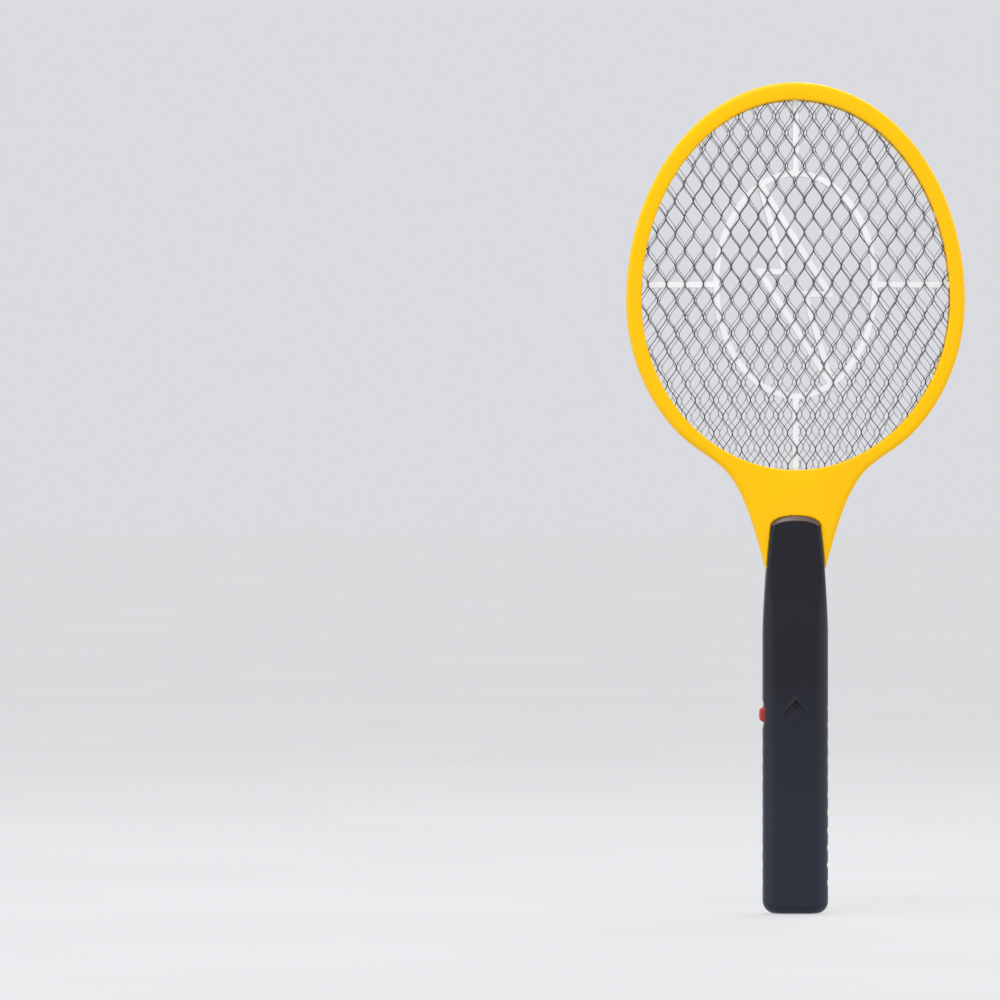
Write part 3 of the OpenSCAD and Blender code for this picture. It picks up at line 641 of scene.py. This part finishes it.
def handle_ring(z, w=None):
    w = grip_hw(z) if w is None else w
    d = grip_hd(z)
    r = 9.0 - 6.6 * float(smooth01(146, 190, z))
    r = min(r, 9.0 - 0.7 * (14 - d) if z < 6 else r, w * 0.62)
    cx, cy = w - r, d - r

    def level(y):
        a, top = abs(y), 10 * d / 14
        a = a if a <= 6.4 else 6.4 + (a - 6.4) * (top - 6.4) / 3.6
        return math.copysign(a, y) if y else 0.0

    def side_x(y):
        a = abs(y) - cy
        return w if a <= 0 else cx + math.sqrt(max(0.0, r * r - a * a))

    top = 10 * d / 14
    t0 = math.asin(min(1.0, max(0.0, (top - cy) / r)))
    arc = [t0 + (math.pi / 2 - t0) * i / 11 for i in range(1, 12)]
    flat = [cx * (1 - i / 7) for i in range(1, 8)]
    half = [(x, d) for x in flat[::-1]] + [(cx + r * math.cos(t), cy + r * math.sin(t)) for t in arc[::-1]]
    half += [(side_x(level(y)), level(y)) for y in LEVELS]
    half += [(cx + r * math.cos(t), -cy - r * math.sin(t)) for t in arc] + [(x, -d) for x in flat]
    ring = half + [(-x, y) for x, y in half[::-1][1:-1]]
    p = np.array(ring, float)
    # small features, pushed in along the normal of the section
    t = np.roll(p, -1, 0) - np.roll(p, 1, 0)
    n = np.stack([-t[:, 1], t[:, 0]], 1)
    n /= np.maximum(np.linalg.norm(n, axis=1), 1e-9)[:, None]
    n *= np.sign((n * p).sum(1))[:, None]
    x, y = p[:, 0], p[:, 1]
    deep = np.zeros(len(p))
    for i, g in enumerate(GROOVES):
        u = abs(z - g) / 2.3
        if u < 1:
            k = 0.5 + 0.5 * math.cos(math.pi * u)
            back = 0.65 if i < 9 else 0.35
            right = SIDE_DEPTH[i] * smooth01(-9.5, -6.0, y) * (1 - smooth01(0, 6, y)) + back * smooth01(0, 6, y)
            left = back * smooth01(2.0, 6.5, y) if i < 9 else 0.0 * y
            deep += k * np.where(x > 0, right, left)
    deep += 0.32 * np.clip(1 - np.abs(y) / 0.25, 0, 1)
    if z < 66.2:
        deep += 0.30 * np.clip(1 - np.abs(y - 6.075) / 0.31, 0, 1)
    if 65.7 < z < 66.6:
        deep += 0.30 * max(0.0, 1 - abs(z - 66.15) / 0.3) * (y > 6.0)
    p = p - n * deep[:, None]
    p[:, 1] += np.where(p[:, 1] < -6.5, FRONT_DROP * smooth01(6.5, 10.5, -p[:, 1]) * smooth01(2, 7, z) * (1 - smooth01(170, 183, z)), 0)
    # hollow round the push button
    dz = abs(z - 105.7)
    if dz < 9.5:
        sx = -48.8 + math.sqrt(32.5 ** 2 - dz * dz)
        want = np.maximum(p[:, 0], sx)
        k = 1 - smooth01(8.2, 9.8, np.abs(p[:, 1]))
        p[:, 0] = np.where(p[:, 0] < 0, p[:, 0] * (1 - k) + want * k, p[:, 0])
    # bevel along the top edge of the tongue
    if z > 200:
        ax = np.minimum(np.abs(p[:, 0]), 13.25)
        zt = 205 + 6.4 * np.maximum(0, 1 - (ax / 13.3) ** (1 / 0.45)) ** (1 / 2.6)
        gap = np.maximum(0.0, zt - z)
        near = gap * 0.93
        drop = 0.72 * np.maximum(0, 2.35 - near)
        a = np.abs(p[:, 1])
        fade = smooth01(d - 4.5, d - 0.4, a)
        p[:, 1] = np.sign(p[:, 1]) * (a - drop * fade)
    return [(a, b, z) for a, b in p]


def handle_solid():
    zs = [0, 0.12, 0.35, 0.7, 1.15, 1.7, 2.35, 3.1, 4.0, 5.0, 5.8, 6.5, 7.5]
    zs += list(np.arange(8.3, 65.6, 0.78)) + [65.84, 66.15, 66.46, 67.0]
    zs += list(np.arange(67.8, 116, 0.78)) + list(np.arange(118, 146, 4.0)) + list(np.arange(146, 183.5, 2.2)) + [SHOULDER]
    zs += list(np.arange(185.5, 204.5, 2.0))
    rings = [handle_ring(z) for z in zs]
    for w in 13.3 * np.cos(np.linspace(0.10, 1.545, 26)):
        rings.append(handle_ring(tongue_z_at(w), w))
    return loft("handle", rings)


def rounded_section(z, w, d, r, n=12):
    pts = []
    for qx, qy, a0 in ((1, 1, 0), (-1, 1, 90), (-1, -1, 180), (1, -1, 270)):
        for i in range(n + 1):
            a = math.radians(a0 + 90 * i / n)
            pts.append((qx * (w - r) + r * math.cos(a), qy * (d - r) + r * math.sin(a), z))
    return pts


def cavity():
    rings = [rounded_section(2.4, 17.3 - 3.8, 14 - 3.6, 5.6), rounded_section(4.6, 15.7, 12.2, 7.2), rounded_section(6.5, 15.7, 12.4, 7.4)]
    for z in (60, 145, 150, 156, 162, 168, 174, 179, SHOULDER):
        r = 7.4 - 5.0 * float(smooth01(146, 190, z))
        rings.append(rounded_section(z, grip_hw(z) - 1.6, grip_hd(z) - 1.6, r))
    z = SHOULDER
    rings.append(rounded_section(z + 0.8, grip_hw(z) - 1.6, grip_hd(z) - 1.6, 3.2))
    return loft("cavity", rings)


def plan_bar(half_y, half_z, r, z0, x0, x1, n=8):
    pts = [(y, z + z0) for y, z, _ in rounded_section(0, half_y, half_z, r, n)]
    return loft("bar", [[(x, y, z) for y, z in pts] for x in (x0, x1)])


def chevron_ridge(px, pz, rise, levels):
    """Raised band along an inverted V: levels is its width at each depth, foot first."""
    def outline(width):
        a = math.atan2(rise, px)
        h = width / 2
        nx, nz = math.sin(a) * h, math.cos(a) * h
        cut_z = h / math.cos(a)
        return [(-px - nx, pz - rise + nz), (0, pz + cut_z), (px + nx, pz - rise + nz), (px - nx, pz - rise - nz), (0, pz - cut_z), (-px + nx, pz - rise - nz)]
    return loft("ridge", [[(x, y, z) for x, z in outline(w)] for y, w in levels])


LED_Z = 110.8
BTN_Z = 105.7

grip = handle_solid()
grip = cut(grip, cavity(), box((-40, -8.62, SHOULDER), (40, 8.62, 230)))
hole = joined(plan_bar(5.15, 4.15, 2.1, BTN_Z, -24, -13.4))
leaf_hole = box((-24, -2.75, BTN_Z + 2), (-13.4, 2.75, BTN_Z + 9.75))
grip = add(grip, box((-16.15, -8.0, BTN_Z - 8.4), (-14.6, 8.0, BTN_Z + 8.4)))
grip = cut(grip, hole, leaf_hole)

# front shell
front = both(grip, box((-40, -30, -5), (40, -0.005, 240)))
post_room = loft("room", [rounded_section(z, 16.3, 12.9, 8.4) for z in (68, 84)])
cut_y = -14 + FRONT_DROP
wedge = mesh_from(
    "wedge",
    [(0, -16, 114.6), (-6.4, -16, 107.6), (-4.2, -16, 100.5), (4.2, -16, 100.5), (6.4, -16, 107.6),
     (0, cut_y + 0.95, 114.6), (-6.4, cut_y + 0.5, 107.6), (-4.2, cut_y - 0.02, 100.5), (4.2, cut_y - 0.02, 100.5), (6.4, cut_y + 0.5, 107.6)],
    [(0, 1, 2, 3, 4), (5, 9, 6), (6, 9, 8, 7)] + [(i, 5 + i, 5 + (i + 1) % 5, (i + 1) % 5) for i in range(5)],
)
front = cut(front, wedge)
front = add(front, chevron_ridge(6.7, 114.7, 7.3, [(-12.9, 1.7), (-13.66, 1.7), (-13.9, 0.75), (-13.99, 0.2)]))
front = add(front, chevron_ridge(7.3, 104.6, 4.7, [(-12.9, 1.3), (-13.68, 1.3), (-13.78, 0.7), (-13.81, 0.2)]))
drop_pts = [(1.9 * math.cos(a), LED_Z - 0.7 + 1.9 * math.sin(a)) for a in np.linspace(math.radians(180 + 0), math.radians(360), 17)]
drop_pts += [(1.75, LED_Z + 0.4), (1.2, LED_Z + 1.5), (0.45, LED_Z + 2.4), (0, LED_Z + 2.7), (-0.45, LED_Z + 2.4), (-1.2, LED_Z + 1.5), (-1.75, LED_Z + 0.4)]
front = cut(front, prism(drop_pts, -16, cut_y + 0.75))
slot_pts = [(x, z + LED_Z) for x, z, _ in rounded_section(0, 1.05, 1.95, 1.0, 8)]
front = cut(front, prism(slot_pts, -14, -10))
inner = [box((-10, -grip_hd(z) + 1.3, z), (10, -8.05, z + 1.6)) for z in (152, 166, 178)]
inner += [rod_y(x, z, -12.7, 3.1, 1.6, 20) for x in (-10, 10.5) for z in (87.5, 142.5)]
posts = both(joined(*[rod_y(s * 10.5, 76, -12.7, -0.03, 3.0, 28) for s in (-1, 1)]), post_room)
front = add(front, joined(*inner), posts, rod_y(0, 197, -9.2, -0.03, 2.8))
front = cut(front, joined(*[rod_y(s * 10.5, 76, -11, 1, 1.05, 20) for s in (-1, 1)], rod_y(0, 197, -8.6, 1, 1.05, 20)))
piece("handle_front_shell.skin", front, "racket", ["handle_front_shell"], BLACK, 30)

# rear shell
rear = both(grip, box((-40, 0.005, -5), (40, 30, 240)))
cover = both(rear, box((-40, 6.15, -5), (40, 30, 66.0)))
rear = cut(rear, box((-40, 6.12, -5), (40, 30, 66.14)))
bay = add(box((-15.0, -4.6, 4.6), (15.0, -3.0, 61.4)), box((-15.0, -4.6, 60.4), (15.0, 9.6, 62.4)))
bay = both(bay, loft("room", [rounded_section(z, 15.3, 11.9, 7.0) for z in (2, 80)]))
post_room = loft("room", [rounded_section(z, 16.3, 12.9, 8.4) for z in (68, 84)])
rear = add(rear, bay, both(joined(*[rod_y(s * 10.5, 76, 0.03, 12.8, 3.6, 32) for s in (-1, 1)]), post_room))
# inner lips that close the seams
for s, z0, z1 in ((1, 7, 148), (-1, 7, 93), (-1, 118, 148)):
    rear = add(rear, box((min(s * 14.9, s * 15.66), -1.5, z0), (max(s * 14.9, s * 15.66), 0.5, z1)),
               box((min(s * 15.0, s * 16.2), 0.02, z0 + 0.2), (max(s * 15.0, s * 16.2), 0.45, z1 - 0.2)))
for s in (-1, 1):
    rear = add(rear, box((min(s * 14.9, s * 15.6), 5.0, 7.2), (max(s * 14.9, s * 15.6), 7.0, 59.0)),
               box((min(s * 15.0, s * 16.2), 5.1, 7.4), (max(s * 15.0, s * 16.2), 5.9, 58.8)))
lip = cut(loft("lip", [rounded_section(z, 15.64, 12.34, 7.34) for z in (64.4, 66.1)]), loft("hole", [rounded_section(z, 14.7, 11.4, 6.4) for z in (60, 70)]),
          box((-20, -20, 60), (20, 6.3, 70)), box((-3.8, 0, 60), (3.8, 20, 70)))
rear = add(rear, lip, both(cut(loft("ring", [rounded_section(z, 16.2, 12.9, 7.9) for z in (66.0, 67.4)]), loft("hole", [rounded_section(z, 14.7, 11.4, 6.4) for z in (60, 70)])),
                           joined(box((-20, 6.3, 60), (-3.8, 20, 70)), box((3.8, 6.3, 60), (20, 20, 70)))))
rear = add(rear, joined(*[box((-10, 8.05, z), (10, grip_hd(z) - 1.3, z + 1.6)) for z in (152, 166, 178)],
                        *[rod_y(x, z, 4.85, 12.7, 1.6, 20) for x in (-10, 10.5) for z in (87.5, 142.5)]))


def well(x, z, y0, y_out, r=2.7):
    return loft("well", [[(x + q * math.cos(a), y, z + q * math.sin(a)) for a in np.arange(40) * math.pi / 20]
                         for y, q in ((y0, r), (y_out - 0.45, r), (y_out - 0.2, r + 0.12), (y_out + 0.02, r + 0.36), (y_out + 1.0, r + 0.6))])


rear = cut(rear, joined(well(-10.5, 76, 10.4, 13.72), well(10.5, 76, 10.4, 13.72), well(0, 197, 9.5, 11.95)))
rear = cut(rear, joined(*[rod_y(s * 10.5, 76, -1, 14, 1.3, 24) for s in (-1, 1)], rod_y(0, 197, 0, 13, 1.3, 24),
                        box((-4.9, -1.5, 58), (-3.1, 0.3, 66)), box((3.1, -1.5, 58), (4.9, 0.3, 66))))
piece("handle_rear_shell.skin", rear, "racket", ["handle_rear_shell"], BLACK, 30)

# battery cover, with an arrow and a thumb hold cut into its back
cover = add(cover, box((-3, 10.9, 63), (3, 12.2, 69.5)), box((-3, 11.8, 63), (3, 12.8, 65.4)))
arrow = [(-3.2, 51.4), (3.2, 51.4), (0, 47.0)]
ribs = [prism([(-6, z), (-5.4, z - 0.45), (5.4, z - 0.45), (6, z), (5.4, z + 0.45), (-5.4, z + 0.45)], 13.1, 15) for z in (60.4, 58.7, 57.0)]
cover = cut(cover, prism(arrow, 13.0, 15), joined(*ribs))
piece("battery_cover.skin", cover, "cover", ["battery_cover"], BLACK, 30)

# ------------------------------------------------------------------ push button
prof = [(-14.7, 5.0, 4.0, 2.0), (-16.2, 5.0, 4.0, 2.0), (-17.0, 4.97, 3.93, 2.0), (-17.6, 4.9, 3.75, 2.0), (-18.15, 4.76, 3.45, 1.95),
        (-18.6, 4.52, 3.1, 1.9), (-18.93, 4.15, 2.7, 1.8), (-19.12, 3.6, 2.15, 1.6), (-19.2, 2.8, 1.4, 1.2)]
cap = loft("cap", [[(x, p, q + BTN_Z) for p, q, _ in rounded_section(0, hy, hz, r, 8)] for x, hy, hz, r in prof])
for z in (-2.1, 0.0, 2.1):
    groove = loft("groove", [[(x, y, BTN_Z + z + dz) for x, dz in ((-19.6, -0.42), (-18.98, 0.0), (-19.6, 0.42))] for y in (-6, 6)])
    cap = cut(cap, groove)
leaf = [(-14.7, 2.6, 7.7, 15.3), (-16.7, 2.6, 7.7, 15.3), (-16.95, 2.5, 7.7, 15.2), (-17.05, 2.3, 7.7, 15.0)]
leaf = loft("leaf", [[(x, -h, 100 + a), (x, h, 100 + a), (x, h, 100 + b), (x, -h, 100 + b)] for x, h, a, b in leaf])
flange = plan_bar(6.5, 5.5, 2.0, BTN_Z, -14.5, -13.3)
neck = box((-14.9, -4.2, BTN_Z - 3.3), (-14.3, 4.2, BTN_Z + 3.3))
button = add(cap, leaf, box((-14.9, -2.6, 107.7), (-14.6, 2.6, 115.3)), neck, flange, rod_x(0, BTN_Z, -13.6, -12.45, 2.0))
piece("trigger_button.cap", button, "button", ["trigger_button"], RED, 34)

# ------------------------------------------------------------------ indicator
lens_prof = [(-12.5, 0.93, 1.83, 0.9), (-12.7, 0.93, 1.83, 0.9), (-12.95, 0.84, 1.78, 0.82), (-13.18, 0.66, 1.66, 0.64), (-13.36, 0.44, 1.5, 0.43), (-13.47, 0.2, 1.32, 0.19), (-13.5, 0.08, 1.2, 0.07)]
lens = loft("lens", [[(x, y, z + LED_Z) for x, z, _ in rounded_section(0, hx, hz, r, 8)] for y, hx, hz, r in lens_prof])
base = loft("base", [[(x, y, z + LED_Z) for x, z, _ in rounded_section(0, hx, hz, r, 8)]
                     for y, hx, hz, r in ((-12.1, 1.3, 2.3, 1.1), (-11.9, 1.5, 2.5, 1.3), (-9.7, 1.5, 2.5, 1.3), (-9.5, 1.35, 2.35, 1.15))])
legs = [rod_y(s * 0.64, LED_Z, -9.6, 3.2, 0.25, 12) for s in (-1, 1)]
led = add(add(base, loft("stem", [[(x, y, z + LED_Z) for x, z, _ in rounded_section(0, 0.9, 1.8, 0.88, 8)] for y in (-12.8, -11.0)])), lens, joined(*legs))
piece("indicator_led.lens", led, "racket", ["indicator_led"], LAMP, 34)

# ------------------------------------------------------------------ pieces that keep their design shape
CELL_L = banded("cell_left", [(-1, (0.62, 0.60, 0.56)), (0.0036, (0.012, 0.05, 0.035)), (0.0335, (0.55, 0.24, 0.05)), (0.0345, (0.016, 0.075, 0.05))], 0.26, 0.35)
CELL_R = banded("cell_right", [(-1, (0.62, 0.60, 0.56)), (0.0102, (0.016, 0.075, 0.05)), (0.0275, (0.55, 0.24, 0.05)), (0.0285, (0.012, 0.05, 0.035)), (0.0588, (0.66, 0.64, 0.60))], 0.26, 0.35)
finish = {
    "front_spacer": WHITE, "rear_spacer": WHITE, "grid_bridge": TIN, "head_screws": SCREW, "handle_screws": SCREW,
    "push_switch": BLACKP, "switch_plunger": IVORY, "circuit_board": BOARD, "transformer_core": FERRITE,
    "transformer_coil": TAPE, "hv_capacitor": FILM, "ceramic_capacitors": CERAMIC, "rectifier_diodes": BLACKP,
    "transistor": BLACKP, "resistors": RESIST, "battery_left": CELL_L, "battery_right": CELL_R,
    "battery_springs": TIN, "contact_plates": TIN, "battery_wires": REDW, "hv_lead": REDW, "ground_lead": BLKW,
}
round_off = {"front_spacer": 0.45, "rear_spacer": 0.45, "head_screws": 0.18, "handle_screws": 0.18, "push_switch": 0.2,
             "circuit_board": 0.12, "transformer_core": 0.2, "contact_plates": 0.1, "battery_left": 0.25, "battery_right": 0.25}
for node, mat in finish.items():
    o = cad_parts[node]
    if not o.material_slots:
        o.data.materials.append(mat)
    for s in o.material_slots:
        s.material = mat
    if node in round_off:
        bv = o.modifiers.new("soft_edges", "BEVEL")
        bv.width = round_off[node] * MM
        bv.segments = 3
        bv.limit_method = "ANGLE"
        bv.angle_limit = math.radians(50)
        bv.harden_normals = False

# ------------------------------------------------------------------ floor, background and light
fm, fnt, fb, fco = shader("floor")
fnt.links.new(mix(fnt, remap(fnt, noise(fnt, fco, 3, 2), 0.3, 0.7, 0, 1), (0.15, 0.15, 0.152), (0.17, 0.17, 0.172)), fb.inputs["Base Color"])
fb.inputs["Roughness"].default_value = 0.9
fb.inputs["Specular IOR Level"].default_value = 0.1
fb.inputs["Emission Color"].default_value = (0.975, 0.985, 1, 1)
fb.inputs["Emission Strength"].default_value = 0.575
floor_me = bpy.data.meshes.new("floor")
R = 60.0
floor_me.from_pydata([(-R, -R, 0), (R, -R, 0), (R, R, 0), (-R, R, 0)], [], [(0, 1, 2, 3)])
floor_me.materials.append(fm)
floor = bpy.data.objects.new("floor", floor_me)
COL.objects.link(floor)
floor.location.z = -0.0004

world = bpy.data.worlds.new("studio")
scene.world = world
world.use_nodes = True
bg = world.node_tree.nodes["Background"]
bg.inputs["Color"].default_value = (0.70, 0.71, 0.745, 1)
bg.inputs["Strength"].default_value = 1.0


def area(name, at, to, size, power, colour=(1, 1, 1), spread=180):
    d = bpy.data.lights.new(name, "AREA")
    d.shape = "RECTANGLE"
    d.size, d.size_y = size
    d.energy = power
    d.color = colour
    d.spread = math.radians(spread)
    o = bpy.data.objects.new(name, d)
    COL.objects.link(o)
    o.location = at
    o.rotation_euler = (Vector(to) - Vector(at)).to_track_quat("-Z", "Y").to_euler()
    o.visible_camera = False
    return o


area("top_front", (-0.5, -1.1, 2.3), (0, 0, 0.25), (1.2, 0.8), 30)
area("side_left", (-1.9, -0.62, 0.62), (0, 0, 0.12), (0.5, 0.9), 3.45, (0.90, 0.94, 1.0), 110)
area("side_right", (1.9, -0.68, 0.62), (0, 0, 0.12), (0.5, 0.9), 3.15, (0.90, 0.94, 1.0), 110)
area("top_back", (0.5, 1.2, 2.2), (0, 0, 0.25), (1.2, 0.9), 24)
area("side_back", (1.8, 1.4, 0.8), (0, 0, 0.2), (0.6, 1.1), 3.2, (1, 1, 1), 120)
